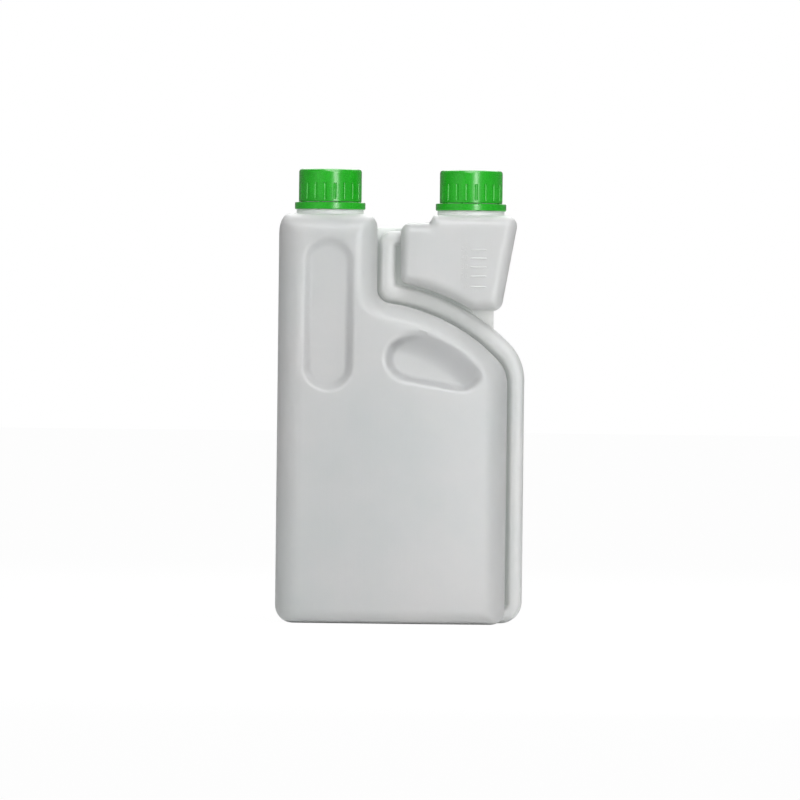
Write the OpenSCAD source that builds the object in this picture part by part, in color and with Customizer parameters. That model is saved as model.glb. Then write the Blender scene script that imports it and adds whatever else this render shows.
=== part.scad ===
// Twin-neck dosing bottle: a blown main chamber with a column under its filling
// neck, a transfer channel that starts at the base, climbs the right edge and
// crosses the shoulder, a dosing chamber at the channel's top, and two screw caps.
// Millimetres, +Z up, origin at the centre of the base, front towards -Y.

/* [Bottle] */
// Width from the left edge to the outside of the channel
body_w = 117; // [105:0.5:130]
// Depth of the main chamber, front to back
body_d = 69; // [60:0.5:78]
// Height of the flats that the necks stand on
body_h = 193.6; // [185:0.2:205]
// Thickness of the blown wall
wall = 1.1; // [0.8:0.1:1.5]
// Swell of the front and back faces across the width
crown = 4.5; // [0:0.5:8]
// Radius of the bottom edge
base_r = 7; // [4:0.5:9]
// Radius of the left bottom corner, seen from the front
base_corner_r = 8.5; // [6:0.5:12]
// Height of the hollow under the base
base_dish = 1.8; // [0.6:0.2:2.4]
// Width of the flat rim round the hollow
base_rim = 5.5; // [3:0.5:8]
// Width of the rounded left edge, seen from the front
side_w = 12; // [8:0.5:16]
// Depth that the rounded left edge takes off the face
side_d = 14; // [8:0.5:18]

/* [Column and shoulder] */
// Width of the column that carries the filling neck
column_w = 46.6; // [44:0.2:50]
// Height where the right edge starts to turn into the shoulder
shoulder_z = 113.5; // [100:0.5:120]
// Radius of the tight bend at the shoulder's outer end
hip_r = 17; // [12:0.5:24]
// Angle that the tight bend turns
hip_a = 43.9; // [38:0.1:50]
// Radius of the long sweep up to the column
sweep_r = 88; // [78:0.5:95]
// Radius of the inner corner between shoulder and column
crotch_r = 7; // [5:0.5:9]
// Width of the rounding along the groove, seen from the front
groove_side_w = 10; // [6:0.5:13]
// Depth that the rounding along the groove takes off the face
groove_side_d = 17; // [12:0.5:24]
// Height of the rounding at the top of the column
column_top_h = 9.5; // [6:0.5:12]
// Depth of the rounding at the top of the column
column_top_d = 13; // [6:0.5:14]

/* [Grips] */
// Depth of the finger grip on the column, at its lower end
finger_depth = 4.2; // [1.5:0.1:5]
// Share of that depth lost at the upper end
finger_fade = 0.45; // [0:0.05:0.7]
// Radius of the finger grip's ends
finger_r = 10.4; // [8:0.1:12]
// Height of its lower end's middle
finger_z = 122; // [112:0.2:132]
// Height between the middles of its two ends
finger_len = 48.5; // [34:0.1:50]
// Depth of the thumb grip on the shoulder
thumb_depth = 4.6; // [1.5:0.1:6]
thumb_blend = 4; // [1:0.5:8]
// Radius of the thumb grip's left end
thumb_r = 9.8; // [7:0.1:11]
// Width of the soft lip round a grip
lip_w = 5; // [3:0.2:8]

/* [Channel] */
// Width of the channel up the right edge
channel_w = 7.6; // [6.5:0.1:9]
// Width of the channel over the shoulder
channel_top_w = 9; // [8:0.1:10]
// Depth of the channel, front to back
channel_d = 27; // [18:0.5:30]
// Width of the pinched groove between main chamber and channel
groove_w = 0.6; // [0.4:0.1:1.2]
// Thickness of the pinched web, two welded walls
web_t = 2; // [1.6:0.1:3]

/* [Dosing chamber] */
// Depth of the dosing chamber, front to back
dose_d = 49; // [42:0.5:54]
// Width of the pinched web between channel and dosing chamber
dose_gap = 1.2; // [0.8:0.1:2]
// Height of the step up to the flat under its neck
dose_step_h = 3.7; // [2:0.1:5]
// Distance of that step from the neck's axis
dose_step_in = 18.6; // [17.5:0.1:19.5]
// Width of the rounded edges of the dosing chamber, seen from the front
dose_edge_w = 5.5; // [4:0.5:7]
// Depth that they take off the face
dose_edge_d = 8; // [5:0.5:8]
// Distance of its upper right corner from the bottle's right side
dose_top_in = 4.4; // [3:0.1:5.5]
// Distance of its lower right corner from the bottle's right side
dose_low_in = 12.3; // [10:0.1:14]
// Length of a raised dose mark
mark_w = 7.6; // [5:0.1:9]
// Height of a dose mark's bar
mark_t = 0.9; // [0.6:0.1:1.4]
// Distance that a dose mark stands out
mark_out = 0.45; // [0.3:0.05:0.8]

/* [Necks] */
// Distance between the two necks
neck_pitch = 66.9; // [65:0.1:69]
// Distance of the filling neck from the left edge
filling_in = 23.9; // [22.5:0.1:25]
// Radius of the bore through each neck
bore_r = 10.9; // [9.5:0.1:11.2]
// Radius of the neck at the root of its thread
neck_r = 12.4; // [12.2:0.05:12.6]
// Height of the neck's rim above the flat
neck_h = 18.8; // [17:0.1:20]
// Radius of the collar under the tamper ring
collar_r = 15.9; // [15.2:0.1:16.4]
// Height of the collar
collar_h = 2.3; // [1.5:0.1:3]
// Radius of the bead that holds the tamper ring down
bead_r = 14.2; // [13.8:0.1:14.3]

/* [Caps] */
// Outside radius of a cap
cap_r = 14.9; // [14.8:0.05:15.4]
// Thickness of a cap's skirt
cap_wall = 1.15; // [0.9:0.05:1.2]
// Thickness of a cap's top
cap_top_t = 1.3; // [1:0.1:2]
// Height of a cap's skirt, lower edge to top
cap_h = 15.5; // [14:0.1:17]
// Number of grip flutes round a cap
flute_n = 20; // [12:1:30]
// Radius of a flute
flute_r = 0.9; // [0.6:0.05:1.2]
// Depth of a flute
flute_depth = 0.45; // [0.2:0.05:0.6]
// Height of the flutes
flute_h = 7.7; // [5:0.1:10]
// Height of the plain edge under the flutes
cap_edge_h = 1.2; // [0.8:0.1:3]
// Outside radius of the tamper ring
ring_r = 16.75; // [16.2:0.05:17.4]
// Height of the tamper ring
ring_h = 3.3; // [3:0.1:3.6]
// Open gap between tamper ring and cap
ring_gap = 0.3; // [0.3:0.05:0.8]
// Number of breakable bridges on the tamper ring
bridge_n = 10; // [6:1:14]

/* [Hidden] */
$fn = 72;
CHANNEL_SIDES = 12;

natural = [0.86, 0.88, 0.88, 0.8];
cap_green = [0.12, 0.62, 0.13];
liner_white = [0.93, 0.93, 0.9];

left_x = -body_w / 2;
right_x = body_w / 2;
groove_x = right_x - channel_w - groove_w;    // right edge of the main chamber
column_x = left_x + column_w;                 // right edge of the column
mid_x = (left_x + groove_x) / 2;
filling_x = left_x + filling_in;              // axis of the filling neck
dosing_x = filling_x + neck_pitch;            // axis of the dosing neck
rim_z = body_h + neck_h;
collar_z = body_h + collar_h;                 // top of the collar
ring_z = collar_z + ring_h;                   // top of the tamper ring
skirt_z = ring_z + ring_gap;                  // lower edge of the cap
cap_z = skirt_z + cap_h;                      // top of the cap
dose_top_z = body_h - dose_step_h;
MARK_Z = [159.7, 164.7, 169, 173.2, 177.2];   // levels of 10 to 50 ml
liner_r = cap_r - cap_wall - 0.5;

// Centres of the shoulder's three arcs; every offset of the curve shares them
hip_c = [groove_x - hip_r, shoulder_z];
sweep_c = hip_c - (sweep_r - hip_r) * [cos(hip_a), sin(hip_a)];
crotch_c = [column_x + crotch_r,
            sweep_c[1] + sqrt(pow(sweep_r + crotch_r, 2)
                              - pow(column_x + crotch_r - sweep_c[0], 2))];
sweep_a = atan2(crotch_c[1] - sweep_c[1], crotch_c[0] - sweep_c[0]);

function polar(c, r, a) = c + r * [cos(a), sin(a)];
function arc(c, r, a0, a1, n) =
    [for (i = [0 : n]) polar(c, r, a0 + (a1 - a0) * i / n)];
function span(a, b, n) = [for (i = [1 : n]) a + (b - a) * i / n];
function smooth(a, b, v) =
    let (t = min(1, max(0, (v - a) / (b - a)))) t * t * (3 - 2 * t);
// The shoulder curve moved out by d, as a height over x
function shoulder(x, d) =
    x >= hip_c[0] + (hip_r + d) * cos(hip_a)
        ? hip_c[1] + sqrt(max(0, pow(hip_r + d, 2) - pow(x - hip_c[0], 2)))
    : x >= sweep_c[0] + (sweep_r + d) * cos(sweep_a)
        ? sweep_c[1] + sqrt(pow(sweep_r + d, 2) - pow(x - sweep_c[0], 2))
        : crotch_c[1] - sqrt(max(0, pow(crotch_r - d, 2) - pow(x - crotch_c[0], 2)));
// Depth that an elliptical edge of width r and depth l takes off at distance d
function edge_loss(d, r, l) =
    d >= r ? 0 : l * (1 - sqrt(max(0, 1 - pow(1 - max(0, d) / r, 2))));
function seg_t(p, a, b) = min(1, max(0, (p - a) * (b - a) / ((b - a) * (b - a))));
function dist_seg(p, a, b) = norm(p - a - seg_t(p, a, b) * (b - a));
function dist_path(p, path) =
    min([for (i = [1 : len(path) - 1]) dist_seg(p, path[i - 1], path[i])]);
// Height that a rounded corner of width w and height h takes off at distance u
function corner(u, w, h) = edge_loss(u, w, h);

// A blown body from its front face: columns of [x, z, half depth], bottom to top,
// where later columns may be shorter. The back is the mirror image.
module pillow(cols) {
    n = len(cols);
    first = [for (j = 0, s = 0; j < n; s = s + len(cols[j]), j = j + 1) s];
    total = first[n - 1] + len(cols[n - 1]);
    front = [for (c = cols) for (p = c) [p[0], -p[2], p[1]]];
    back = [for (p = front) [p[0], -p[1], p[2]]];
    sheet = [for (j = [0 : n - 2])
                 for (i = [0 : min(len(cols[j]), len(cols[j + 1])) - 2])
                     let (a = first[j] + i, b = first[j + 1] + i)
                     each [[a, b + 1, b], [a, a + 1, b + 1]]];
    rim = concat(
        [for (i = [0 : len(cols[0]) - 1]) first[0] + i],
        [for (j = [1 : n - 1])
             let (k = len(cols[j]), before = len(cols[j - 1]))
             each concat(before > k
                     ? [for (i = [before - 2 : -1 : k - 1]) first[j - 1] + i] : [],
                 [first[j] + k - 1])],
        [for (i = [len(cols[n - 1]) - 2 : -1 : 0]) first[n - 1] + i],
        [for (j = [n - 2 : -1 : 1]) first[j]]);
    m = len(rim);
    polyhedron(
        points = concat(front, back),
        faces = concat(
            sheet,
            [for (f = sheet) [f[0] + total, f[2] + total, f[1] + total]],
            [for (i = [0 : m - 1])
                 let (a = rim[i], b = rim[(i + 1) % m])
                 each [[a, b + total, b], [a, a + total, b + total]]]));
}

// ---- main chamber ----------------------------------------------------------
// Every function takes g, the inset from the outer surface.

// The edge that the main chamber shares with the groove, bottom to top
function groove_path(g) = concat(
    [[groove_x - g, -50]],
    arc(hip_c, hip_r - g, 0, hip_a, 6),
    arc(sweep_c, sweep_r - g, hip_a, sweep_a, 8),
    arc(crotch_c, crotch_r + g, 180 + sweep_a, 180, 6),
    [[column_x - g, body_h + 50]]);

finger_a = [filling_x, finger_z];
finger_b = finger_a + [0, finger_len];
// the thumb grip is a slanting slot and the space above it, open to the shoulder
thumb_a = [column_x + 15.7, shoulder_z + 12];
function finger_grip(p) =
    finger_depth * (1 - finger_fade * seg_t(p, finger_a, finger_b))
    * smooth(lip_w / 2, -lip_w / 2, dist_seg(p, finger_a, finger_b) - finger_r);
// The smaller of a and b, rounded over where they are within w of each other.
function soft_min(a, b, w) =
    let (h = min(1, max(0, 0.5 + (b - a) / (2 * w))))
    b + (a - b) * h - w * h * (1 - h);
function thumb_grip(p, d) =
    thumb_depth * smooth(0.4 * groove_side_w, 2.2 * groove_side_w, d) * smooth(lip_w / 2, -lip_w / 2,
        soft_min(dist_seg(p, thumb_a, thumb_a + [24.7, -4.2]),
                 dist_seg(p, thumb_a + [8, 3], thumb_a + [22, 1.5]), thumb_blend) - thumb_r);

function main_half(p, g, path) =
    let (d = dist_path(p, path))
    body_d / 2 - g
    - crown * pow((p[0] - mid_x) / (groove_x - mid_x), 2)
    - finger_grip(p)
    - norm([thumb_grip(p, d),
            edge_loss(p[0] - left_x - g, side_w - g, side_d - g),
            edge_loss(d, groove_side_w - g, groove_side_d - g),
            edge_loss(p[1] - g, base_r - g, base_r - g),
            edge_loss(body_h - g - p[1], column_top_h - g, column_top_d - g)]);

ROUND = [0, 0.07, 0.27, 0.6, 1];              // steps over a rounded edge
function main_stations(g) = concat(
    [for (t = ROUND) left_x + g + t * (side_w - g)],
    span(left_x + side_w, column_x - groove_side_w, 7),
    [for (i = [3 : -1 : 0]) column_x - g - ROUND[i] * (groove_side_w - g)],
    [for (a = [30, 58]) crotch_c[0] - (crotch_r + g) * cos(a)],
    span(crotch_c[0] - (crotch_r + g) * cos(sweep_a), groove_x - groove_side_w, 12),
    [for (i = [3 : -1 : 0]) groove_x - g - ROUND[i] * (groove_side_w - g)]);

function main_column(x, g, path) =
    let (edge = g + corner(min(x - left_x - g, 99), base_corner_r - g, base_corner_r - g)
                + corner(groove_x - g - x, base_r - g, base_r - g),
         low = max(base_r, edge + 0.5),
         meet = x <= column_x - g ? crotch_c[1] : shoulder(x, -g),
         round = min(13, (meet - 90) / 2.2),
         top = body_h - g
               - corner(x - left_x - g, 5 - g, column_top_h - g)
               - corner(column_x - g - x, 5.5 - g, 7 - g),
         zs = concat(
             [for (t = [0, 0.08, 0.3, 0.65]) edge + t * (low - edge)],
             [low, low + 35, low + 70],
             span(low + 70, 92, 1),
             span(92, meet - round, 12),
             [for (i = [3 : -1 : 0]) meet - ROUND[i] * round],
             x <= column_x - g
                 ? concat(span(meet, body_h - column_top_h, 5),
                          [for (i = [3 : -1 : 0])
                               top - ROUND[i] * (top - body_h + column_top_h)])
                 : []))
    [for (z = zs) [x, z, main_half([x, z], g, path)]];

module main_chamber(g) {
    path = groove_path(g);
    difference() {
        pillow([for (x = main_stations(g)) main_column(x, g, path)]);
        base_hollow(g);
    }
}

// The hollow that leaves the base a flat rim to stand on
module base_hollow(g) {
    w = (groove_x - left_x) / 2 - base_corner_r - base_rim + g;
    d = body_d / 2 - base_r - base_rim - crown / 2 + g;
    translate([mid_x, 0, g - 1])
        linear_extrude(height = base_dish + 1, scale = 0.94)
            polygon([for (a = [0 : 10 : 350])
                [w * sign(cos(a)) * pow(abs(cos(a)), 0.55),
                 d * sign(sin(a)) * pow(abs(sin(a)), 0.55)]]);
}

// ---- channel ---------------------------------------------------------------
// Pairs of points on its inner and outer rail; each pair carries one section.
out_w = groove_w + channel_top_w;
left_w = channel_top_w - 0.3;                 // width beside the column
function rail_pair(c1, r1, c2, r2, a0, a1, n) =
    [for (i = [0 : n]) let (a = a0 + (a1 - a0) * i / n)
        [polar(c1, r1, a), polar(c2, r2, a)]];
channel_rails =
    let (xa = groove_x + groove_w, xb = right_x, ra = 1, rb = 10.5,
         la = column_x + groove_w, lb = la + left_w,
         high = 186, low = 178.8,
         k = crotch_r - groove_w,
         // where the sweep's outer offset meets the left run's outer rail
         cb = [lb + 0.8, sweep_c[1]
               + sqrt(pow(sweep_r + out_w + 0.8, 2) - pow(lb + 0.8 - sweep_c[0], 2))])
    concat(
        [[[groove_x - 6, 8.4], [groove_x - 6, 0.35]]],
        rail_pair([xa - ra, 8.4 + ra], ra, [xb - rb, 0.35 + rb], rb, -90, 0, 6),
        [for (i = [0 : 6]) let (a = hip_a * i / 6)
            [polar(hip_c, hip_r + groove_w, a),
             polar(hip_c, hip_r + groove_w + channel_w
                   + (channel_top_w - channel_w) * i / 6, a)]],
        [for (i = [1 : 7]) let (a = hip_a + (sweep_a - 2 - hip_a) * i / 7)
            [polar(sweep_c, sweep_r + groove_w, a), polar(sweep_c, sweep_r + out_w, a)]],
        [for (i = [0 : 7]) let (t = i / 7)
            [polar(crotch_c, k, 180 + sweep_a * (1 - t)),
             polar(cb, 0.8, 180 + sweep_a * (1 - t))]],
        rail_pair([la + 6.4, high - 6.4], 6.4, [lb + 0.6, low - 0.6], 0.6, 180, 90, 6),
        [[[lb + 9, high], [lb + 9, low]]]);

// Squares an oval section a little
function flat(v) = sign(v) * pow(abs(v), 0.55);

module channel(g) {
    s = CHANNEL_SIDES;
    n = len(channel_rails);
    points = [for (r = channel_rails)
                  let (u = (r[1] - r[0]) / norm(r[1] - r[0]),
                       c = (r[0] + r[1]) / 2, w = norm(r[1] - r[0]) / 2 - g)
                  for (i = [0 : s - 1]) let (a = 360 * i / s, q = c + u * w * flat(cos(a)))
                      [q[0], (channel_d / 2 - g) * flat(sin(a)), q[1]]];
    polyhedron(
        points = points,
        faces = concat(
            [[for (i = [0 : s - 1]) i]],
            [[for (i = [s - 1 : -1 : 0]) (n - 1) * s + i]],
            [for (j = [0 : n - 2]) for (i = [0 : s - 1])
                let (a = j * s + i, b = j * s + (i + 1) % s)
                each [[a, b + s, b], [a, a + s, b + s]]]));
}

// ---- dosing chamber --------------------------------------------------------
dose_gap_d = groove_w + channel_top_w + dose_gap;      // its offset over the shoulder
dose_left = column_x + groove_w + left_w + dose_gap + 0.6;
dose_low_z = shoulder(right_x - 25, dose_gap_d);       // level stretch at its foot
dose_low_x = right_x - dose_low_in;
dose_top_x = right_x - dose_top_in;
dose_step_x = dosing_x - dose_step_in;
function dose_top(x) = dose_top_z + dose_step_h * smooth(dose_step_x - 1.5, dose_step_x + 1.5, x);
// Lower and upper edge as matching lists, left to right
dose_lower = let (r = 4.5, z0 = shoulder(dose_left + r, dose_gap_d))
    concat(
        arc([dose_left + r, z0 + r], r, 180, 262, 4),
        [for (x = span(dose_left + r, right_x - 25, 7)) [x, shoulder(x, dose_gap_d)]],
        span([right_x - 25, dose_low_z], [dose_low_x - 3, dose_low_z], 1),
        arc([dose_low_x - 3, dose_low_z + 4.5], 4.5, -78, -10, 4));
dose_upper = let (r = 5, m = len(dose_lower) - 10)
    concat(
        arc([dose_left + r, dose_top_z - r], r, 180, 90, 4),
        [for (d = [-1.5, -0.7, 0, 0.7, 1.5]) [dose_step_x + d, dose_top(dose_step_x + d)]],
        [for (i = [1 : m - 5])
             [dose_step_x + 1.5 + (dose_top_x - r - dose_step_x - 1.5) * i / (m - 4), body_h]],
        arc([dose_top_x - r, body_h - r], r, 90, -10, 4));
dose_loop = concat(dose_lower, [for (i = [len(dose_upper) - 1 : -1 : 0]) dose_upper[i]],
                   [dose_lower[0]]);

DOSE_V = [0, 0.015, 0.06, 0.15, 0.38, 0.62, 0.85, 0.94, 0.985, 1];
module dosing_chamber(g) {
    // the loop moved in by g: each point goes along the bisector of its two edges
    function inset(p, a, b) =
        let (u = (p - a) / norm(p - a), v = (b - p) / norm(b - p),
             m = [-(u[1] + v[1]), u[0] + v[0]])
        p + g * m / (norm(m) * norm(u + v) / 2);
    k = len(dose_lower);
    n = len(dose_loop) - 1;
    loop = [for (i = [0 : n - 1])
        inset(dose_loop[i], dose_loop[(i + n - 1) % n], dose_loop[i + 1])];
    closed = concat(loop, [loop[0]]);
    pillow([for (j = [0 : k - 1]) [for (t = DOSE_V)
        let (p = loop[j] + t * (loop[n - 1 - j] - loop[j]))
        [p[0], p[1], dose_d / 2 - g
            - edge_loss(dist_path(p, closed), dose_edge_w - g, dose_edge_d - g)]]]);
}

// ---- bottle ----------------------------------------------------------------
// The pinched web that ties column, channel and dosing chamber together
module web() {
    rotate([90, 0, 0])
        linear_extrude(height = web_t, center = true)
            polygon(concat(
                [[groove_x - 3, 9], [groove_x + 4, 9], [groove_x + 4, shoulder_z]],
                arc(hip_c, hip_r + 5, 5, hip_a, 3),
                [[43.7, 139], [43.7, 153], [dosing_x, 170], [dose_left + 9, 187.5],
                 [column_x - 4, 187.5], [column_x - 3, crotch_c[1]]],
                arc(crotch_c, crotch_r + 3, 190, 180 + sweep_a, 4),
                arc(sweep_c, sweep_r - 3, sweep_a, hip_a, 6),
                arc(hip_c, hip_r - 3, hip_a, 0, 3)));
}

// The three blown hollow bodies, joined where they run into each other
module shell() {
    difference() {
        union() {
            main_chamber(0);
            channel(0);
            dosing_chamber(0);
            web();
            for (z = MARK_Z)
                translate([dosing_x + 3.7 - mark_w / 2, -dose_d / 2 - mark_out, z - mark_t / 2])
                    cube([mark_w, mark_out + 0.5, mark_t]);
        }
        main_chamber(wall);
        channel(wall);
        dosing_chamber(wall);
        // the tops are open before the necks are set on
        for (x = [filling_x, dosing_x])
            translate([x, 0, dose_top_z - 8]) cylinder(r = bore_r - 2, h = 20, $fn = 24);
    }
}

// Neck with collar and retaining bead, let half a wall into the flat
module neck(x) {
    translate([x, 0, 0])
        rotate_extrude()
            polygon([
                [bore_r, body_h - wall / 2], [collar_r, body_h - wall / 2],
                [collar_r, body_h], [collar_r, collar_z - 0.4], [collar_r - 0.4, collar_z],
                [neck_r, collar_z], [neck_r, collar_z + 0.9],
                [bead_r, collar_z + 1.9], [bead_r, collar_z + 2.3],
                [neck_r, collar_z + 2.9],
                [neck_r, rim_z - 0.6], [neck_r - 0.6, rim_z],
                [bore_r, rim_z]]);
}

module bottle() {
    color(natural)
        difference() {
            union() {
                resize([0, 0, 0]) shell();
                neck(filling_x);
                neck(dosing_x);
            }
            translate([filling_x, 0, body_h - 5]) cylinder(r = bore_r, h = neck_h + 10);
            translate([dosing_x, 0, body_h - 5]) cylinder(r = bore_r, h = neck_h + 10);
        }
}

// ---- closures --------------------------------------------------------------
module cap(x) {
    pitch_r = cap_r + flute_r - flute_depth;
    color(cap_green)
        translate([x, 0, 0])
            difference() {
                rotate_extrude()
                    polygon([[0, cap_z], [0, cap_z - cap_top_t],
                             [cap_r - cap_wall, cap_z - cap_top_t],
                             [cap_r - cap_wall, skirt_z], [cap_r - 0.2, skirt_z],
                             [cap_r, skirt_z + 0.2], [cap_r, cap_z - 1.2],
                             [cap_r - 0.35, cap_z - 0.35], [cap_r - 1.2, cap_z]]);
                for (i = [0 : flute_n - 1])
                    rotate([0, 0, 360 / flute_n * (i + 0.5)])
                        translate([pitch_r, 0, skirt_z + cap_edge_h])
                            cylinder(r = flute_r, h = flute_h, $fn = 24);
            }
}

module tamper_ring(x) {
    color(cap_green)
        translate([x, 0, 0]) {
            rotate_extrude()
                polygon([[neck_r + 0.35, collar_z], [ring_r - 0.3, collar_z],
                         [ring_r, collar_z + 0.3], [ring_r, ring_z - 0.3],
                         [ring_r - 0.3, ring_z], [cap_r - cap_wall - 0.2, ring_z],
                         [cap_r - cap_wall - 0.2, ring_z - 1],
                         [bead_r + 0.3, collar_z + 1.6], [neck_r + 0.35, collar_z + 0.5]]);
            for (i = [0 : bridge_n - 1])
                rotate([0, 0, 360 / bridge_n * i])
                    translate([cap_r - 0.8, -0.5, ring_z - 0.2])
                        cube([0.7, 1, ring_gap + 0.1]);
        }
}

module liner(x) {
    color(liner_white)
        translate([x, 0, rim_z])
            cylinder(r = liner_r, h = cap_z - cap_top_t - rim_z);
}

module main_cap() { cap(filling_x); }
module main_tamper_ring() { tamper_ring(filling_x); }
module main_liner() { liner(filling_x); }
module dosing_cap() { cap(dosing_x); }
module dosing_tamper_ring() { tamper_ring(dosing_x); }
module dosing_liner() { liner(dosing_x); }

bottle();
main_cap();
main_tamper_ring();
main_liner();
dosing_cap();
dosing_tamper_ring();
dosing_liner();
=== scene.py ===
"""Looks of a twin-neck dosing bottle in natural blown plastic with two green screw caps.

Lengths are worked out in millimetres and put into the meshes in metres.
x runs from the filling neck to the dosing neck, -y is the front, z is up.
Where a function takes g, its surface lies g further in: 0 gives the outside, WALL the inside.
"""
import math

import bmesh
import bpy
import numpy as np
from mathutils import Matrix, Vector


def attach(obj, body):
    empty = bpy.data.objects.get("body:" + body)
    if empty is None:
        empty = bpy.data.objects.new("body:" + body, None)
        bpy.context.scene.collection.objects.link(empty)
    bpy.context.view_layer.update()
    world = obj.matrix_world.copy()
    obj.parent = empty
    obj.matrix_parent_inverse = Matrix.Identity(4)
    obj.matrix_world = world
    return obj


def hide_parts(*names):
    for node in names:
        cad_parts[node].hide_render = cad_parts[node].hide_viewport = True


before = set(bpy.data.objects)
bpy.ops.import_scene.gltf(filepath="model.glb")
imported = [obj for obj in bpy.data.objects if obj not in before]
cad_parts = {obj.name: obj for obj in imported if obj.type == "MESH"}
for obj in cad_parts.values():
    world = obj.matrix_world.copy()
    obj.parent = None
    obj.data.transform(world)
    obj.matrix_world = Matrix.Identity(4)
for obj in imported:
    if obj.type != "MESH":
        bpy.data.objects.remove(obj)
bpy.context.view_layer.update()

# ---------------------------------------------------------------- sizes, in mm
BODY_W, BODY_D, BODY_H = 117.0, 69.0, 193.6       # the height is up to the necks' feet
WALL = 1.1
CROWN = 4.5                                       # bulge of the front over the main chamber
BASE_R, BASE_CORNER_R = 7.0, 8.5                  # base edge, and its corner on the left
BASE_DISH, BASE_RIM = 1.8, 5.5                    # hollow under the base, and the rim round it
SIDE_W, SIDE_D = 12.0, 14.0                       # rounding of the left side, in x and y
COLUMN_W = 46.6
COLUMN_TOP_H, COLUMN_TOP_D = 9.5, 13.0            # rounding of the column's top, in z and y
COLUMN_LEFT_W = 5.0                               # its outline's corners: the left one is
COLUMN_RIGHT_W, COLUMN_RIGHT_H = 5.5, 7.0         # COLUMN_TOP_H high
SHOULDER_Z = 113.5                                # height of the hip's centre
HIP_R, HIP_A = 17.0, math.radians(43.9)           # right end of the shoulder curve
SWEEP_R = 88.0                                    # its long part
CROTCH_R = 7.0                                    # its inner corner with the column
GROOVE_SIDE_W, GROOVE_SIDE_D = 10.0, 17.0         # rounding towards the groove
GROOVE_W, WEB_T = 0.6, 2.0                        # gap beside the channel, and the web in it
FINGER_DEPTH, FINGER_FADE = 4.2, 0.45             # FADE: share of the depth lost at its top
FINGER_R, FINGER_Z, FINGER_LEN = 10.4, 122.0, 48.5
THUMB_DEPTH, THUMB_R, THUMB_BLEND = 4.6, 9.8, 4.0
THUMB_FADE = (0.4, 2.2)                           # in widths of the groove's rounding
LIP_W = 5.0                                       # width of both grips' lips
SQUARE = 0.55                                     # squared ovals: 1 is round, 0 a rectangle
CHANNEL_W, CHANNEL_TOP_W, CHANNEL_D = 7.6, 9.0, 27.0
CHANNEL_SIDE_CUT = 0.3                            # narrower by this beside the column
CHANNEL_FOOT_IN, CHANNEL_FOOT_OUT = 8.4, 0.35     # heights of its two sides along the base
CHANNEL_HIGH, CHANNEL_LOW = 186.0, 178.8          # and where it goes into the dosing chamber
DOSE_D, DOSE_GAP, DOSE_EDGE_W, DOSE_EDGE_D = 49.0, 1.2, 5.5, 8.0
DOSE_STEP_H, DOSE_STEP_IN, DOSE_STEP_RUN = 3.7, 18.6, 1.5
DOSE_TOP_IN, DOSE_LOW_IN, DOSE_LEFT_IN = 4.4, 12.3, 0.6
DOSE_FOOT_IN = 25.0                               # where its foot turns level
DOSE_LOW_R, DOSE_TOP_R = 4.5, 5.0                 # its lower and upper corners
NECK_PITCH, FILLING_IN = 66.9, 23.9
BORE_R, NECK_R, NECK_H = 10.9, 12.4, 18.8
COLLAR_R, COLLAR_H, BEAD_R = 15.9, 2.3, 14.2
THREAD_PITCH, THREAD_TURNS, THREAD_UP = 4.2, 1.6, 5.4
MARK_Z = (159.7, 164.7, 169.0, 173.2, 177.2)      # lines for 10, 20, 30, 40 and 50 ml
MARK_W, MARK_T, MARK_OUT, MARK_ROOT = 7.6, 0.9, 0.45, 0.4
MARK_IN = 3.7                                     # middle of the lines, from the neck's axis
NUMBER_GAP = 1.2
NUMBER_SIZE, NUMBER_OUT, NUMBER_BEVEL, NUMBER_SUNK = 0.0034, 0.0003, 0.00005, 0.0001  # metres
PAST = 5.0                                        # cutters reach past what they cut
SHARP_EDGE = math.radians(38)

LEFT_X, RIGHT_X = -BODY_W / 2, BODY_W / 2
GROOVE_X = RIGHT_X - CHANNEL_W - GROOVE_W
COLUMN_X = LEFT_X + COLUMN_W
MID_X = (LEFT_X + GROOVE_X) / 2
FILLING_X = LEFT_X + FILLING_IN
DOSING_X = FILLING_X + NECK_PITCH
MARK_X = DOSING_X + MARK_IN
RIM_Z = BODY_H + NECK_H
COLLAR_Z = BODY_H + COLLAR_H
DOSE_TOP_Z = BODY_H - DOSE_STEP_H
DOSE_STEP_X = DOSING_X - DOSE_STEP_IN
HIP_C = np.array([GROOVE_X - HIP_R, SHOULDER_Z])
SWEEP_C = HIP_C - (SWEEP_R - HIP_R) * np.array([math.cos(HIP_A), math.sin(HIP_A)])
CROTCH_C = np.array([COLUMN_X + CROTCH_R, SWEEP_C[1] + math.sqrt(
    (SWEEP_R + CROTCH_R) ** 2 - (COLUMN_X + CROTCH_R - SWEEP_C[0]) ** 2)])
SWEEP_A = math.atan2(CROTCH_C[1] - SWEEP_C[1], CROTCH_C[0] - SWEEP_C[0])

# the grips' spines: an upright one, and two slanting ones that share the thumb grip
FINGER = np.array([[FILLING_X, FINGER_Z], [FILLING_X, FINGER_Z + FINGER_LEN]])
THUMB_A = np.array([COLUMN_X + 15.7, SHOULDER_Z + 12])
THUMB_LOW = np.array([THUMB_A, THUMB_A + [24.7, -4.2]])
THUMB_HIGH = np.array([THUMB_A + [8, 3], THUMB_A + [22, 1.5]])


# ------------------------------------------------------------ curves and edges
def arc(centre, radius, a0, a1, n):
    """n + 1 points on a circle: centre + radius (cos a, sin a), a from a0 to a1."""
    a = np.linspace(a0, a1, n + 1)
    return np.stack([centre[0] + radius * np.cos(a), centre[1] + radius * np.sin(a)], 1)


def smooth(a, b, v):
    """3 t^2 - 2 t^3 with t running from 0 at v = a to 1 at v = b."""
    t = np.clip((v - a) / (b - a), 0, 1)
    return t * t * (3 - 2 * t)


def squared(v):
    """v's sign times |v|^SQUARE: of cos a and sin a it makes a squared oval."""
    return np.sign(v) * np.abs(v) ** SQUARE


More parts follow.
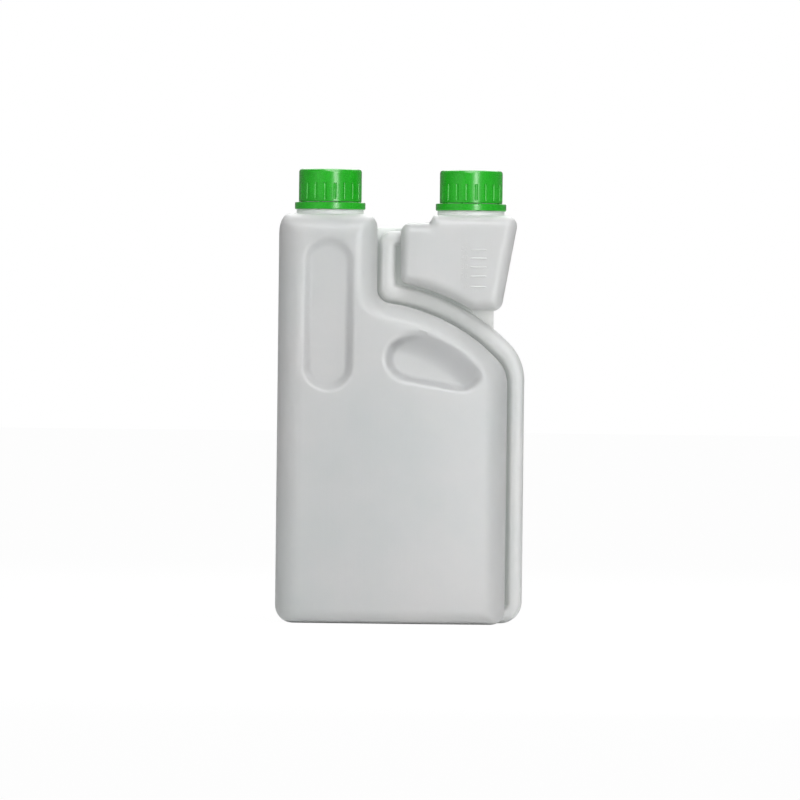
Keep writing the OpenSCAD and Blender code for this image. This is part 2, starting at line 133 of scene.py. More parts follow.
def quarter(n):
    """n + 1 steps from 0 to 1, closest at 0: 1 - cos of an even angle.

    A quarter ellipse gets even steps from it.
    """
    return 1 - np.cos(np.linspace(0, math.pi / 2, n + 1))


def edge_loss(d, width, depth):
    """Depth that a quarter-ellipse edge takes off at distance d.

    It is depth (1 - sqrt(1 - (1 - d / width)^2)).
    """
    t = 1 - np.clip(d / width, 0, 1)
    return depth * (1 - np.sqrt(np.clip(1 - t * t, 0, 1)))


def distance(x, z, path):
    """Shortest distance from each point to a polyline, and t of the first segment.

    It is the least over the segments of |p - a - t (b - a)|, with t clipped to 0..1.
    """
    a, b = path[:-1], path[1:]
    ab = b - a
    px, pz = x[..., None] - a[:, 0], z[..., None] - a[:, 1]
    t = np.clip((px * ab[:, 0] + pz * ab[:, 1]) / (ab ** 2).sum(1), 0, 1)
    d = np.hypot(px - t * ab[:, 0], pz - t * ab[:, 1])
    return d.min(-1), t[..., 0]


def shoulder(x, d):
    """Height of the shoulder curve moved out by d.

    An arc of radius HIP_R + d, then one of SWEEP_R + d, then the inner corner of CROTCH_R - d.
    """
    hip = HIP_C[1] + np.sqrt(np.clip((HIP_R + d) ** 2 - (x - HIP_C[0]) ** 2, 0, None))
    sweep = SWEEP_C[1] + np.sqrt(np.clip((SWEEP_R + d) ** 2 - (x - SWEEP_C[0]) ** 2, 0, None))
    crotch = CROTCH_C[1] - np.sqrt(np.clip((CROTCH_R - d) ** 2 - (x - CROTCH_C[0]) ** 2, 0, None))
    return np.where(x >= HIP_C[0] + (HIP_R + d) * math.cos(HIP_A), hip,
                    np.where(x >= SWEEP_C[0] + (SWEEP_R + d) * math.cos(SWEEP_A), sweep, crotch))


# --------------------------------------------------------------- mesh builders
def add_object(name, data):
    """A new object in the scene with the given data."""
    o = bpy.data.objects.new(name, data)
    bpy.context.scene.collection.objects.link(o)
    return o


def evaluated_mesh(o):
    """The object's mesh with its modifiers or font outline worked out."""
    bpy.context.view_layer.update()
    graph = bpy.context.evaluated_depsgraph_get()
    return bpy.data.meshes.new_from_object(o.evaluated_get(graph))


def make_mesh(name, verts_mm, faces):
    """A mesh object at the origin from points in mm and faces."""
    me = bpy.data.meshes.new(name)
    me.from_pydata((np.asarray(verts_mm) / 1000.0).tolist(), [],
                   [list(map(int, f)) for f in faces])
    me.validate()
    me.update()
    return add_object(name, me)


def grid_quads(index):
    """Quads between neighbours in a 2-D index table, counter-clockwise in (first, second)."""
    return np.stack([index[:-1, :-1], index[1:, :-1],
                     index[1:, 1:], index[:-1, 1:]], -1).reshape(-1, 4)


def blown(name, x, z, half, quads, rim):
    """A closed body from its front face (x, -half, z).

    The back is the mirror image (x, half, z), and flat strips join the two along the rim,
    a clockwise loop.
    """
    n = len(x)
    front = np.stack([x, -half, z], 1)
    back = np.stack([x, half, z], 1)
    nxt = np.roll(rim, -1)
    strip = np.stack([rim, nxt, nxt + n, rim + n], -1)
    faces = np.concatenate([quads, quads[:, ::-1] + n, strip])
    return make_mesh(name, np.concatenate([front, back]), faces)


def lathe(name, profile, centre_x, n=128):
    """A ring profile of (r, z) turned about a vertical axis: x = centre + r cos a, y = r sin a.

    The profile runs counter-clockwise in (r, z) and closes on itself.
    """
    profile = np.asarray(profile, float)
    a = np.linspace(0, 2 * math.pi, n, endpoint=False)
    r, z = profile[:, 0], profile[:, 1]
    pts = np.stack([centre_x + r[None] * np.cos(a)[:, None], r[None] * np.sin(a)[:, None],
                    np.broadcast_to(z, (n, len(z)))], -1).reshape(-1, 3)
    k = len(profile)
    index = np.arange(n * k).reshape(n, k)
    index = np.concatenate([index, index[:1]])
    index = np.concatenate([index, index[:, :1]], 1)
    return make_mesh(name, pts, grid_quads(index))


def tube(name, sections):
    """A closed skin over a row of closed sections, an array (rows, points, 3), with flat ends."""
    rows, k = sections.shape[:2]
    index = np.arange(rows * k).reshape(rows, k)
    ring = np.concatenate([index, index[:, :1]], 1)
    faces = [list(f) for f in grid_quads(ring)]
    faces += [list(index[0, ::-1]), list(index[-1])]
    return make_mesh(name, sections.reshape(-1, 3), faces)


def outward(o):
    """Turns all faces of a closed mesh outwards."""
    bm = bmesh.new()
    bm.from_mesh(o.data)
    bmesh.ops.recalc_face_normals(bm, faces=bm.faces[:])
    bm.to_mesh(o.data)
    bm.free()
    return o


def combine(target, others, how):
    """Boolean of target with each of the others in turn; the others are removed."""
    for other in others:
        m = target.modifiers.new("cut", "BOOLEAN")
        m.operation = how
        m.solver = "MANIFOLD"
        m.object = other
        me = evaluated_mesh(target)
        target.modifiers.clear()
        target.data = me
        bpy.data.objects.remove(other)
    return target


# ---------------------------------------------------------------- main chamber
def groove_path(g):
    """Edge of the main chamber along the groove, moved in by g.

    Up the right side, round the hip, over the sweep, round the inner corner, up the column.
    """
    beyond = 50                                   # straight ends run on past the bottle
    return np.concatenate([[[GROOVE_X - g, -beyond]], arc(HIP_C, HIP_R - g, 0, HIP_A, 24),
                           arc(SWEEP_C, SWEEP_R - g, HIP_A, SWEEP_A, 30)[1:],
                           arc(CROTCH_C, CROTCH_R + g, math.pi + SWEEP_A, math.pi, 20),
                           [[COLUMN_X - g, BODY_H + beyond]]])


def finger_grip(x, z):
    """Depth of the finger grip, which gets shallower up its spine.

    A smooth step across its lip, by distance from the spine less the grip's radius.
    """
    d, t = distance(x, z, FINGER)
    return FINGER_DEPTH * (1 - FINGER_FADE * t) * smooth(LIP_W / 2, -LIP_W / 2, d - FINGER_R)


def thumb_grip(x, z, d_groove):
    """Depth of the thumb grip, which fades out towards the shoulder.

    A smooth step across its lip, by distance from its two spines, blended where they are
    equally near, less the grip's radius.
    """
    a, b = distance(x, z, THUMB_LOW)[0], distance(x, z, THUMB_HIGH)[0]
    h = np.clip(0.5 + (b - a) / (2 * THUMB_BLEND), 0, 1)
    d = b + (a - b) * h - THUMB_BLEND * h * (1 - h)
    return (THUMB_DEPTH * smooth(LIP_W / 2, -LIP_W / 2, d - THUMB_R)
            * smooth(THUMB_FADE[0] * GROOVE_SIDE_W, THUMB_FADE[1] * GROOVE_SIDE_W, d_groove))


def main_half(x, z, g):
    """Half depth of the main chamber.

    Half the bottle's depth, less the crown, less the finger grip, less the root sum of
    squares of the thumb grip and the four edge roundings.
    """
    d, _ = distance(x, z, groove_path(g))
    losses = (thumb_grip(x, z, d) ** 2 + edge_loss(x - LEFT_X - g, SIDE_W - g, SIDE_D - g) ** 2
              + edge_loss(d, GROOVE_SIDE_W - g, GROOVE_SIDE_D - g) ** 2
              + edge_loss(z - g, BASE_R - g, BASE_R - g) ** 2
              + edge_loss(BODY_H - g - z, COLUMN_TOP_H - g, COLUMN_TOP_D - g) ** 2)
    return (BODY_D / 2 - g - CROWN * ((x - MID_X) / (GROOVE_X - MID_X)) ** 2
            - finger_grip(x, z) - np.sqrt(losses))


def main_chamber(g):
    """The main chamber on a grid of upright lines.

    Below the inner corner's height the lines run from the base to that height, or to the
    shoulder curve; above it the column's own lines go on to its rounded top.
    """
    q = quarter(10)
    crotch = CROTCH_C[0] - (CROTCH_R + g) * np.cos(np.linspace(0, SWEEP_A, 9)[1:])
    left = np.concatenate([LEFT_X + g + q * (SIDE_W - g),
                           np.linspace(LEFT_X + SIDE_W, COLUMN_X - GROOVE_SIDE_W, 36)[1:],
                           COLUMN_X - g - q[-2::-1] * (GROOVE_SIDE_W - g)])
    right = np.concatenate([crotch, np.linspace(crotch[-1], GROOVE_X - GROOVE_SIDE_W, 48)[1:],
                            GROOVE_X - g - q[-2::-1] * (GROOVE_SIDE_W - g)])
    x = np.concatenate([left, right])
    edge = (g + edge_loss(x - LEFT_X - g, BASE_CORNER_R - g, BASE_CORNER_R - g)
            + edge_loss(GROOVE_X - g - x, BASE_R - g, BASE_R - g))
    meet = np.where(x <= COLUMN_X - g + 1e-6, CROTCH_C[1], shoulder(x, -g))
    low = np.maximum(BASE_R, edge + 0.5)
    # few lines across the plain part up to sparse_z; close ones in the brim, the band along
    # the upper edge, which is at most 13 mm high and less where the shoulder comes down
    sparse_z = 92
    brim = np.minimum(13, (meet - 90) / 2.2)
    t = np.linspace(0, 1, 56)[1:]
    z = np.concatenate([
        edge[:, None] + q[None] * (low - edge)[:, None],
        low[:, None] + np.linspace(0, 1, 9)[None, 1:] * (sparse_z - low)[:, None],
        sparse_z + t[None] * (meet - brim - sparse_z)[:, None],
        meet[:, None] - q[None, -2::-1] * brim[:, None]], 1)
    xx = np.broadcast_to(x[:, None], z.shape)

    top = (BODY_H - g - edge_loss(left - LEFT_X - g, COLUMN_LEFT_W - g, COLUMN_TOP_H - g)
           - edge_loss(COLUMN_X - g - left, COLUMN_RIGHT_W - g, COLUMN_RIGHT_H - g))
    knee = BODY_H - COLUMN_TOP_H
    z2 = np.concatenate([
        CROTCH_C[1] + np.linspace(0, 1, 16)[None, 1:] * (knee - CROTCH_C[1]) + 0 * left[:, None],
        top[:, None] - q[None, -2::-1] * (top - knee)[:, None]], 1)
    xx2 = np.broadcast_to(left[:, None], z2.shape)

    nx, nz, nl, n2 = len(x), z.shape[1], len(left), z2.shape[1]
    low_i = np.arange(nx * nz).reshape(nx, nz)
    high_i = nx * nz + np.arange(nl * n2).reshape(nl, n2)
    seam = np.concatenate([low_i[:nl, -1:], high_i], 1)
    quads = np.concatenate([grid_quads(low_i), grid_quads(seam)])
    rim = np.concatenate([low_i[0], high_i[0], high_i[1:, -1], high_i[-1, -2::-1],
                          low_i[nl - 1:, -1], low_i[-1, -2::-1], low_i[-2:0:-1, 0]])
    xs = np.concatenate([xx.ravel(), xx2.ravel()])
    zs = np.concatenate([z.ravel(), z2.ravel()])
    return blown("chamber", xs, zs, main_half(xs, zs, g), quads, rim)


def base_hollow(g):
    """The hollow under the base: a squared oval, |x/w|^3.6 + |y/d|^3.6 = 1, drawn in to 94 %."""
    w = (GROOVE_X - LEFT_X) / 2 - BASE_CORNER_R - BASE_RIM + g
    d = BODY_D / 2 - BASE_R - BASE_RIM - CROWN / 2 + g
    a = np.linspace(0, 2 * math.pi, 96, endpoint=False)
    px, py = w * squared(np.cos(a)), d * squared(np.sin(a))
    t = np.array([0, 0.6, 0.85, 1.0])             # rows: share of the height, and of the width
    s = np.array([1.0, 0.985, 0.965, 0.94])
    zz = g - 1 + t * (BASE_DISH + 1)
    rows = np.stack([MID_X + s[:, None] * px, s[:, None] * py,
                     np.broadcast_to(zz[:, None], (len(t), len(a)))], -1)
    return outward(tube("hollow", rows))


# --------------------------------------------------------------------- channel
def channel_rails():
    """The channel's two rails as matched points.

    Along the base, up the right edge, round the hip, over the sweep, round the inner corner,
    up beside the column and across into the dosing chamber.
    """
    foot_in_r, foot_out_r = 1.0, 10.5             # corner radii of the inner and outer rail
    high_r, low_r, corner_r = 6.4, 0.6, 0.8
    foot_run, mouth_run = 6, 9                    # how far the straight ends reach
    near, n = math.radians(2), 20                 # the sweep stops short of the inner corner
    xa, xb = GROOVE_X + GROOVE_W, RIGHT_X
    out_w = GROOVE_W + CHANNEL_TOP_W
    la = COLUMN_X + GROOVE_W
    lb = la + CHANNEL_TOP_W - CHANNEL_SIDE_CUT
    cb = [lb + corner_r, SWEEP_C[1] + math.sqrt(
        (SWEEP_R + out_w + corner_r) ** 2 - (lb + corner_r - SWEEP_C[0]) ** 2)]
    h = math.pi / 2
    t = np.linspace(0, 1, n + 1)
    widen = HIP_R + GROOVE_W + CHANNEL_W + (CHANNEL_TOP_W - CHANNEL_W) * t
    a = HIP_A * t
    inner = np.concatenate([
        [[GROOVE_X - foot_run, CHANNEL_FOOT_IN]],
        arc([xa - foot_in_r, CHANNEL_FOOT_IN + foot_in_r], foot_in_r, -h, 0, n),
        arc(HIP_C, HIP_R + GROOVE_W, 0, HIP_A, n),
        arc(SWEEP_C, SWEEP_R + GROOVE_W, HIP_A, SWEEP_A - near, 26)[1:],
        arc(CROTCH_C, CROTCH_R - GROOVE_W, math.pi + SWEEP_A, math.pi, n),
        arc([la + high_r, CHANNEL_HIGH - high_r], high_r, math.pi, h, n),
        [[lb + mouth_run, CHANNEL_HIGH]]])
    outer = np.concatenate([
        [[GROOVE_X - foot_run, CHANNEL_FOOT_OUT]],
        arc([xb - foot_out_r, CHANNEL_FOOT_OUT + foot_out_r], foot_out_r, -h, 0, n),
        np.stack([HIP_C[0] + widen * np.cos(a), HIP_C[1] + widen * np.sin(a)], 1),
        arc(SWEEP_C, SWEEP_R + out_w, HIP_A, SWEEP_A - near, 26)[1:],
        arc(cb, corner_r, math.pi + SWEEP_A, math.pi, n),
        arc([lb + low_r, CHANNEL_LOW - low_r], low_r, math.pi, h, n),
        [[lb + mouth_run, CHANNEL_LOW]]])
    return inner, outer


def channel(g):
    """A squared oval tube between the two rails.

    centre + u (half width - g) squared(cos a), and (half depth - g) squared(sin a) in y,
    where u points from one rail to the other.
    """
    inner, outer = channel_rails()
    gap = outer - inner
    wide = np.linalg.norm(gap, axis=1)
    u = gap / wide[:, None]
    c = (inner + outer) / 2
    a = np.linspace(0, 2 * math.pi, 36, endpoint=False)
    r = (wide / 2 - g)[:, None] * squared(np.cos(a))
    x = c[:, :1] + u[:, :1] * r
    z = c[:, 1:] + u[:, 1:] * r
    y = np.broadcast_to((CHANNEL_D / 2 - g) * squared(np.sin(a)), x.shape)
    return outward(tube("channel", np.stack([x, y, z], -1)))


# -------------------------------------------------------------- dosing chamber
def dosing_loop():
    """Lower and upper edge of the dosing chamber as matched points, left to right."""
    rad = math.radians
    corner_n = 12
    gap = GROOVE_W + CHANNEL_TOP_W + DOSE_GAP
    left = (COLUMN_X + GROOVE_W + CHANNEL_TOP_W - CHANNEL_SIDE_CUT + DOSE_GAP + DOSE_LEFT_IN)
    r = DOSE_LOW_R
    flat_x = RIGHT_X - DOSE_FOOT_IN
    z0 = float(shoulder(np.array(left + r), gap))
    foot = float(shoulder(np.array(flat_x), gap))
    low_x, top_x = RIGHT_X - DOSE_LOW_IN - 3, RIGHT_X - DOSE_TOP_IN
    xs = np.linspace(left + r, flat_x, 30)[1:]
    lower = np.concatenate([
        arc([left + r, z0 + r], r, math.pi, rad(262), corner_n),
        np.stack([xs, shoulder(xs, gap)], 1),
        np.stack([np.linspace(flat_x, low_x, 9)[1:], np.full(8, foot)], 1),
        arc([low_x, foot + r], r, rad(-78), rad(-10), corner_n)])
    between = len(lower) - 2 * (corner_n + 1)     # points between the two corners
    r = DOSE_TOP_R
    step_a, step_b = DOSE_STEP_X - DOSE_STEP_RUN, DOSE_STEP_X + DOSE_STEP_RUN
    step = np.linspace(step_a, step_b, 13)
    xt = np.concatenate([step, np.linspace(step[-1], top_x - r, between - len(step) + 2)[1:-1]])
    upper = np.concatenate([
        arc([left + r, DOSE_TOP_Z - r], r, math.pi, math.pi / 2, corner_n),
        np.stack([xt, DOSE_TOP_Z + DOSE_STEP_H * smooth(step_a, step_b, xt)], 1),
        arc([top_x - r, BODY_H - r], r, math.pi / 2, rad(-10), corner_n)])
    return lower, upper


def dosing_chamber(g):
    """The dosing chamber on a grid of lines from its lower to its upper edge.

    The edge loop is moved in by g along its corner bisectors, and the depth falls off in a
    quarter ellipse at the loop.
    """
    lower, upper = dosing_loop()
    loop = np.concatenate([lower, upper[::-1]])
    before, after = np.roll(loop, 1, 0), np.roll(loop, -1, 0)
    u = (loop - before) / np.linalg.norm(loop - before, axis=1)[:, None]
    v = (after - loop) / np.linalg.norm(after - loop, axis=1)[:, None]
    m = np.stack([-(u[:, 1] + v[:, 1]), u[:, 0] + v[:, 0]], 1)
    loop = loop + g * m / (np.linalg.norm(m, axis=1) ** 2 / 2)[:, None]
    k = len(lower)
    lo, hi = loop[:k], loop[k:][::-1]
    q = quarter(9) * 0.17                         # close lines over 17 % of the height, twice
    t = np.concatenate([q, np.linspace(q[-1], 1 - q[-1], 12)[1:-1], 1 - q[::-1]])
    x = lo[:, None, 0] + t[None] * (hi - lo)[:, None, 0]
    z = lo[:, None, 1] + t[None] * (hi - lo)[:, None, 1]
    d, _ = distance(x, z, np.concatenate([loop, loop[:1]]))
    half = DOSE_D / 2 - g - edge_loss(d, DOSE_EDGE_W - g, DOSE_EDGE_D - g)
    index = np.arange(x.size).reshape(x.shape)
    rim = np.concatenate([index[0], index[1:, -1], index[-1, -2::-1], index[-2:0:-1, 0]])
    return blown("dosing", x.ravel(), z.ravel(), half.ravel(), grid_quads(index), rim)


# ------------------------------------------------------------------- the bottle
def web():
    """The pinched web: a flat outline carried through the web's thickness.

    The outline's own corners all lie inside the blown bodies, so that only the web in the
    gaps between them shows.
    """
    outline = np.concatenate([
        [[GROOVE_X - 3, 9], [GROOVE_X + 4, 9], [GROOVE_X + 4, SHOULDER_Z]],
        arc(HIP_C, HIP_R + 5, math.radians(5), HIP_A, 3),
        [[43.7, 139], [43.7, 153], [DOSING_X, 170], [COLUMN_X + 19, 187.5],
         [COLUMN_X - 4, 187.5], [COLUMN_X - 3, CROTCH_C[1]]],
        arc(CROTCH_C, CROTCH_R + 3, math.radians(190), math.pi + SWEEP_A, 8),
        arc(SWEEP_C, SWEEP_R - 3, SWEEP_A, HIP_A, 24), arc(HIP_C, HIP_R - 3, HIP_A, 0, 12)])
    rows = np.stack([np.stack([outline[:, 0], np.full(len(outline), y), outline[:, 1]], 1)
                     for y in (-WEB_T / 2, WEB_T / 2)])
    return outward(tube("web", rows))


def neck(x):
    """Neck with collar and retaining bead: one closed profile turned about the neck's axis."""
    foot_z, inner_r = BODY_H - WALL / 2, BORE_R - 2
    profile = [
        (inner_r, foot_z), (COLLAR_R, foot_z), (COLLAR_R, BODY_H),
        (COLLAR_R, COLLAR_Z - 0.5), (COLLAR_R - 0.15, COLLAR_Z - 0.15), (COLLAR_R - 0.5, COLLAR_Z),
        (NECK_R, COLLAR_Z), (NECK_R, COLLAR_Z + 0.9), (BEAD_R, COLLAR_Z + 1.9),
        (BEAD_R, COLLAR_Z + 2.3), (NECK_R, COLLAR_Z + 2.9),
        (NECK_R, RIM_Z - 0.6), (NECK_R - 0.2, RIM_Z - 0.2), (NECK_R - 0.6, RIM_Z),
        (inner_r, RIM_Z)]
    return outward(lathe("neck", profile, x))


def thread(x):
    """Screw thread: a rounded ridge section carried up a helix of the thread's pitch.

    r = NECK_R + the section's own r, z = start + pitch a / 2 pi + the section's own z.
    The ridge comes and goes with fade, which runs from 0 to 1 and back over the turns.
    """
    a = np.linspace(0, 2 * math.pi * THREAD_TURNS, 200)
    fade = smooth(0, 0.5, a) * smooth(0, 0.5, a[-1] - a)
    out, up = np.array([[-0.9, -1.25], [0.25, -0.95], [0.9, -0.45],
                        [0.9, 0.45], [0.25, 0.85], [-0.9, 1.1]]).T
    r = (NECK_R + np.maximum(out, 0)[None] * (0.15 + 0.97 * fade[:, None])
         + np.minimum(out, 0)[None])
    z = COLLAR_Z + THREAD_UP + THREAD_PITCH * a[:, None] / (2 * math.pi) + up[None]
    rows = np.stack([x + r * np.cos(a)[:, None], r * np.sin(a)[:, None], z], -1)
    return outward(tube("thread", rows))


def dose_mark(z):
    """A raised level line on the dosing chamber's front: a bar whose section is a half ellipse.

    x = centre + (half width) c, z = level + (half height) cos b sqrt(1 - c^8),
    y = face - relief sin b sqrt(1 - c^8).
    """
    c = np.sin(np.linspace(-math.pi / 2, math.pi / 2, 41)) * 0.9999
    b = np.linspace(0, math.pi, 13)
    end = np.sqrt(1 - c ** 8)[:, None]
    x = MARK_X + MARK_W / 2 * c[:, None] + 0 * b[None]
    y = -DOSE_D / 2 - MARK_OUT * np.sin(b)[None] * end
    zz = z + MARK_T / 2 * np.cos(b)[None] * end
    root_y = np.full((len(c), 2), -DOSE_D / 2 + MARK_ROOT)
    root = np.stack([x[:, [0, -1]], root_y, zz[:, [-1, 0]]], -1)
    rows = np.concatenate([np.stack([x, y, zz], -1), root], 1)
    return outward(tube("mark", rows))


def dose_number(text, z):
    """A raised plain number beside a level line.

    A font outline given a small thickness, turned to face the front.
    """
    curve = bpy.data.curves.new("number", "FONT")
    curve.body = text
    curve.size = NUMBER_SIZE
    curve.extrude = NUMBER_OUT
    curve.bevel_depth = NUMBER_BEVEL
    curve.align_x, curve.align_y = "RIGHT", "CENTER"
    o = add_object("number", curve)
    me = evaluated_mesh(o)
    bpy.data.objects.remove(o)
    co = np.empty(len(me.vertices) * 3, np.float32)
    me.vertices.foreach_get("co", co)
    co = co.reshape(-1, 3)
    placed = np.stack([co[:, 0] + (MARK_X - MARK_W / 2 - NUMBER_GAP) / 1000,
                       -DOSE_D / 2000 - co[:, 2] + NUMBER_SUNK,
                       co[:, 1] + z / 1000], 1)
    me.vertices.foreach_set("co", placed.astype(np.float32).ravel())
    me.update()
    return add_object("dose_number_" + text, me)


def bore(x):
    """A plain round cutter through a neck."""
    a = np.linspace(0, 2 * math.pi, 128, endpoint=False)
    rows = np.stack([np.stack([x + BORE_R * np.cos(a), BORE_R * np.sin(a),
                               np.full(len(a), z)], 1) for z in (BODY_H - PAST, RIM_Z + PAST)])
    return outward(tube("cutter", rows))


def bottle():
    """Outer bodies joined, inner bodies, neck bores and base hollow taken away."""
    body = main_chamber(0)
    combine(body, [base_hollow(0)], "DIFFERENCE")
    combine(body, [channel(0), dosing_chamber(0), web()], "UNION")
    inside = combine(main_chamber(WALL), [base_hollow(WALL)], "DIFFERENCE")
    combine(body, [inside, channel(WALL), dosing_chamber(WALL)], "DIFFERENCE")
    combine(body, [neck(FILLING_X), neck(DOSING_X), thread(FILLING_X), thread(DOSING_X)], "UNION")
    combine(body, [bore(FILLING_X), bore(DOSING_X)], "DIFFERENCE")
    combine(body, [dose_mark(z) for z in MARK_Z], "UNION")
    body.name = "bottle_skin"
    body.data.name = "bottle_skin"
    body.data.shade_smooth()
    body.data.set_sharp_from_angle(angle=SHARP_EDGE)
    return body


# -------------------------------------------------------------------- materials
def node(tree, kind, **values):
    """Adds a shader node, and sets its sockets and properties by name or links outputs in."""
    n = tree.nodes.new(kind)
    for key, value in values.items():
        if isinstance(value, bpy.types.NodeSocket):
            tree.links.new(value, n.inputs[key])
        elif key in n.inputs:
            n.inputs[key].default_value = value
        else:
            setattr(n, key, value)
    return n


def material(name):
    """A new material: itself, its node tree, its shader and the object's coordinates."""
    m = bpy.data.materials.new(name)
    m.use_nodes = True
    t = m.node_tree
    return m, t, t.nodes["Principled BSDF"], node(t, "ShaderNodeTexCoord").outputs["Object"]


def tinted(tree, fac, low, high, ends=(0.3, 0.7)):
    """A colour that goes from low to high while fac goes from one end to the other."""
    ramp = node(tree, "ShaderNodeValToRGB", Fac=fac)
    for stop, place, colour in zip(ramp.color_ramp.elements, ends, (low, high)):
        stop.position = place
        stop.color = (*colour, 1)
    return ramp.outputs["Color"]


def ranged(tree, value, start, end, to_start=0.0, to_end=1.0, curve="LINEAR"):
    """value carried from start..end over to to_start..to_end."""
    n = node(tree, "ShaderNodeMapRange", Value=value, interpolation_type=curve)
    for key, number in (("From Min", start), ("From Max", end),
                        ("To Min", to_start), ("To Max", to_end)):
        n.inputs[key].default_value = number
    return n.outputs["Result"]


def calc(tree, operation, *values):
    """A sum on outputs or plain numbers."""
    n = node(tree, "ShaderNodeMath", operation=operation)
    for socket, value in zip(n.inputs, values):
        if isinstance(value, bpy.types.NodeSocket):
            tree.links.new(value, socket)
        else:
            socket.default_value = value
    return n.outputs["Value"]


def relief(tree, shader, height, strength, distance_m):
    """Bumps on the shader's surface from a height."""
    bump = node(tree, "ShaderNodeBump", Strength=strength, Distance=distance_m, Height=height)
    tree.links.new(bump.outputs["Normal"], shader.inputs["Normal"])


def scatter(shader, weight, radius, scale):
    """Light scattered inside the plastic."""
    shader.inputs["Subsurface Weight"].default_value = weight
    shader.inputs["Subsurface Radius"].default_value = radius
    shader.inputs["Subsurface Scale"].default_value = scale


def natural_plastic():
    """Milky natural polyethylene.

    Pale grey with faint cloudy mottling, whiter at the chambers' tops and the necks as painted
    light, fine vertical flow lines, soft gloss, and light scattered inside.
    """
    m, t, p, coords = material("natural_plastic")
    axes = node(t, "ShaderNodeSeparateXYZ", Vector=coords)
    cloud = node(t, "ShaderNodeTexNoise", Vector=coords, Scale=15.0, Detail=4.0, Roughness=0.55)
    tint = tinted(t, cloud.outputs["Fac"], (0.54, 0.57, 0.56), (0.615, 0.61, 0.6))
    # Painted light: the colour turns whiter from 4 mm under the necks' feet upwards, over the
    # chambers' tops and the necks, in place of the light that falls there.
    painted_light_top = ranged(t, axes.outputs["Z"], (BODY_H - 4) / 1000, (BODY_H + 1) / 1000,
                   curve="SMOOTHSTEP")
    painted_light_mix = node(t, "ShaderNodeMixRGB", Fac=painted_light_top, Color1=tint, Color2=(0.86, 0.87, 0.855, 1))
    t.links.new(painted_light_mix.outputs["Color"], p.inputs["Base Color"])
    # A faint glow of its own near the bottle's middle plane, |y| under 18 mm, stands in for
    # the light that comes through the thin walls into the grooves beside the channel.
    depth = calc(t, "ABSOLUTE", axes.outputs["Y"])
    near = ranged(t, depth, 0.018, 0.002, curve="SMOOTHSTEP")
    t.links.new(calc(t, "MULTIPLY", near, 0.12), p.inputs["Emission Strength"])
    p.inputs["Emission Color"].default_value = (0.95, 1.0, 0.98, 1)
    grain = node(t, "ShaderNodeTexNoise", Vector=coords, Scale=1600.0, Detail=3.0).outputs["Fac"]
    t.links.new(ranged(t, grain, 0.0, 1.0, 0.34, 0.46), p.inputs["Roughness"])
    stretch = node(t, "ShaderNodeMapping", Vector=coords, Scale=(700, 700, 14))
    lines = node(t, "ShaderNodeTexNoise", Vector=stretch.outputs["Vector"], Scale=1.0, Detail=2.0)
    relief(t, p, calc(t, "ADD", grain, lines.outputs["Fac"]), 0.12, 0.0002)
    scatter(p, 1.0, (1.0, 1.0, 0.95), 0.006)
    p.inputs["IOR"].default_value = 1.5
    return m


def green_plastic():
    """Bright green moulded plastic: a faint cloud in the colour, fine grain in gloss and relief."""
    m, t, p, coords = material("green_plastic")
    cloud = node(t, "ShaderNodeTexNoise", Vector=coords, Scale=90.0, Detail=3.0)
    tint = tinted(t, cloud.outputs["Fac"], (0.008, 0.33, 0.008), (0.012, 0.38, 0.011))
    t.links.new(tint, p.inputs["Base Color"])
    grain = node(t, "ShaderNodeTexNoise", Vector=coords, Scale=2500.0, Detail=2.0).outputs["Fac"]
    t.links.new(ranged(t, grain, 0.0, 1.0, 0.22, 0.32), p.inputs["Roughness"])
    relief(t, p, grain, 0.08, 0.0001)
    scatter(p, 0.15, (0.3, 1.0, 0.3), 0.0015)
    p.inputs["Specular IOR Level"].default_value = 0.55
    return m


def liner_foam():
    """White foamed disc: small cells in relief and a dull surface."""
    m, t, p, coords = material("liner_foam")
    cells = node(t, "ShaderNodeTexVoronoi", Vector=coords, Scale=3000.0).outputs["Distance"]
    tint = tinted(t, cells, (0.74, 0.74, 0.70), (0.82, 0.82, 0.79), ends=(0.0, 1.0))
    t.links.new(tint, p.inputs["Base Color"])
    relief(t, p, cells, 0.2, 0.0001)
    p.inputs["Roughness"].default_value = 0.7
    return m


# ---------------------------------------------------------------- put together
def dress(o, look):
    """Gives an object one material."""
    o.data.materials.clear()
    o.data.materials.append(look)


plastic, green, foam = natural_plastic(), green_plastic(), liner_foam()
# the thin figures are too small to scatter light inside
raised = plastic.copy()
raised.name = "natural_plastic_raised"
raised.node_tree.nodes["Principled BSDF"].inputs["Subsurface Weight"].default_value = 0.0
skin = bottle()
dress(skin, plastic)
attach(skin, "body")
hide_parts("bottle")

for text, z in zip(("10", "20", "30", "40", "50"), MARK_Z):
    number = dose_number(text, z)
    dress(number, raised)
    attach(number, "body")

for name, look in (("main_cap", green), ("main_tamper_ring", green), ("dosing_cap", green),
                   ("dosing_tamper_ring", green), ("main_liner", foam), ("dosing_liner", foam)):
    dress(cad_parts[name], look)


# ------------------------------------------------------- floor, lamps and camera
CAMERA_X, CAMERA_Z, CAMERA_AWAY, CAMERA_ROLL_DEG = -0.0004, 0.1058, 5.0, 0.65
MM_PER_PIXEL, PICTURE_PIXELS = 0.475, 800
SENSOR_MM = 36
FLOOR_HALF = 30.0
WHITE = (1, 1, 1, 1)

# name, place, point it aims at, size in x and y, power in watts
LAMPS = (("overhead", (0.1, -0.75, 1.1), (0, 0, 0.12), (0.9, 0.5), 10.0),
         ("key", (0.46, -1.34, 0.26), (0, 0, 0.15), (0.3, 0.5), 6.8),
         ("fill", (-0.9, -0.9, 0.3), (0, 0, 0.12), (0.9, 0.9), 1.1),
         ("back", (0.1, 1.0, 1.0), (0, 0, 0.12), (0.9, 0.9), 8.0))


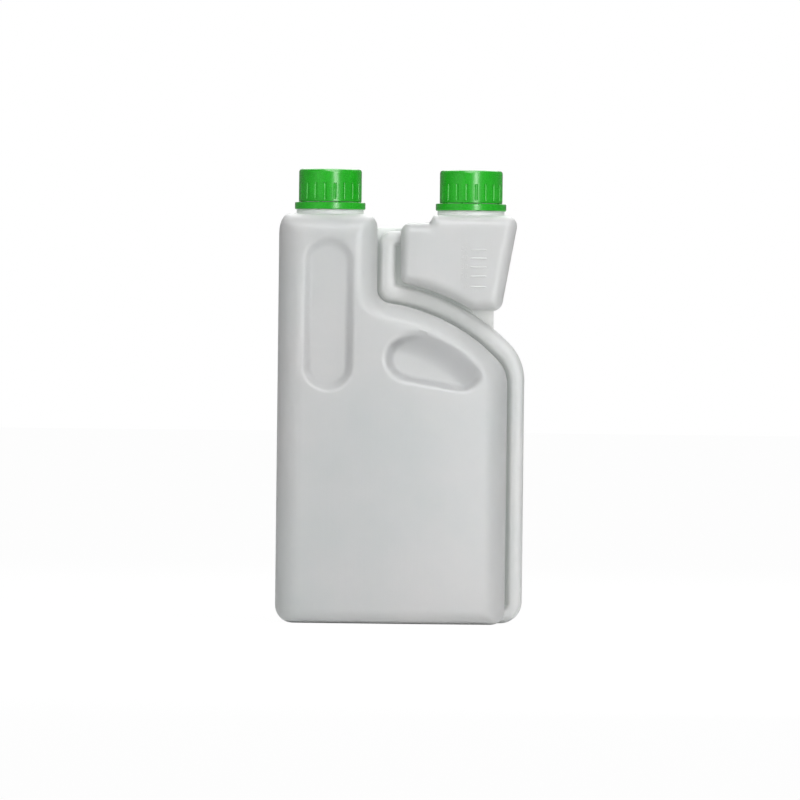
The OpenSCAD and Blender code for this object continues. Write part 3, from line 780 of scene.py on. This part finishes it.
def mixed(tree, fac, plain, other, out):
    """Shows plain, and other as far as fac says, in the output's surface."""
    mix = node(tree, "ShaderNodeMixShader")
    for socket, source in zip(mix.inputs, (fac, plain.outputs[0], other.outputs[0])):
        tree.links.new(source, socket)
    tree.links.new(mix.outputs[0], out.inputs["Surface"])


def white_floor():
    """A floor that shows nearly white to the camera and keeps the bottle's soft shadow."""
    s = FLOOR_HALF
    me = bpy.data.meshes.new("floor")
    me.from_pydata([(-s, -s, 0), (s, -s, 0), (s, s, 0), (-s, s, 0)], [], [(0, 1, 2, 3)])
    floor = add_object("floor", me)
    m, t, p, _ = material("floor_white")
    p.inputs["Base Color"].default_value = (0.8, 0.8, 0.8, 1)
    p.inputs["Roughness"].default_value = 0.9
    glow = node(t, "ShaderNodeEmission", Strength=1.015, Color=WHITE)
    seen = node(t, "ShaderNodeLightPath").outputs["Is Camera Ray"]
    mixed(t, calc(t, "MULTIPLY", seen, 0.96), p, glow, t.nodes["Material Output"])
    me.materials.append(m)


def white_world():
    """A world that is white to the camera and a weak, even light to the bottle."""
    world = bpy.context.scene.world or bpy.data.worlds.new("studio")
    bpy.context.scene.world = world
    world.use_nodes = True
    t = world.node_tree
    t.nodes.clear()
    soft = node(t, "ShaderNodeBackground", Strength=0.27, Color=WHITE)
    white = node(t, "ShaderNodeBackground", Strength=1.0, Color=WHITE)
    seen = node(t, "ShaderNodeLightPath").outputs["Is Camera Ray"]
    mixed(t, seen, soft, white, node(t, "ShaderNodeOutputWorld"))


def lamps():
    """The four area lamps."""
    for name, place, aim, size, power in LAMPS:
        lamp = bpy.data.lights.new(name, "AREA")
        lamp.shape = "RECTANGLE"
        lamp.size, lamp.size_y = size
        lamp.energy = power
        o = add_object(name, lamp)
        o.location = place
        to_aim = Vector(np.array(aim) - np.array(place))
        o.rotation_euler = to_aim.to_track_quat("-Z", "Y").to_euler()


def camera():
    """A level camera straight in front, far away, rolled as the photograph is."""
    cam = bpy.data.cameras.new("camera")
    cam.sensor_width = SENSOR_MM
    cam.sensor_fit = "HORIZONTAL"
    cam.lens = SENSOR_MM * CAMERA_AWAY / (PICTURE_PIXELS * MM_PER_PIXEL / 1000)
    o = add_object("camera", cam)
    o.location = (CAMERA_X, -CAMERA_AWAY, CAMERA_Z)
    o.rotation_euler = (math.pi / 2, -math.radians(CAMERA_ROLL_DEG), 0)
    bpy.context.scene.camera = o


white_floor()
white_world()
lamps()
camera()
bpy.context.scene.view_settings.view_transform = "Standard"
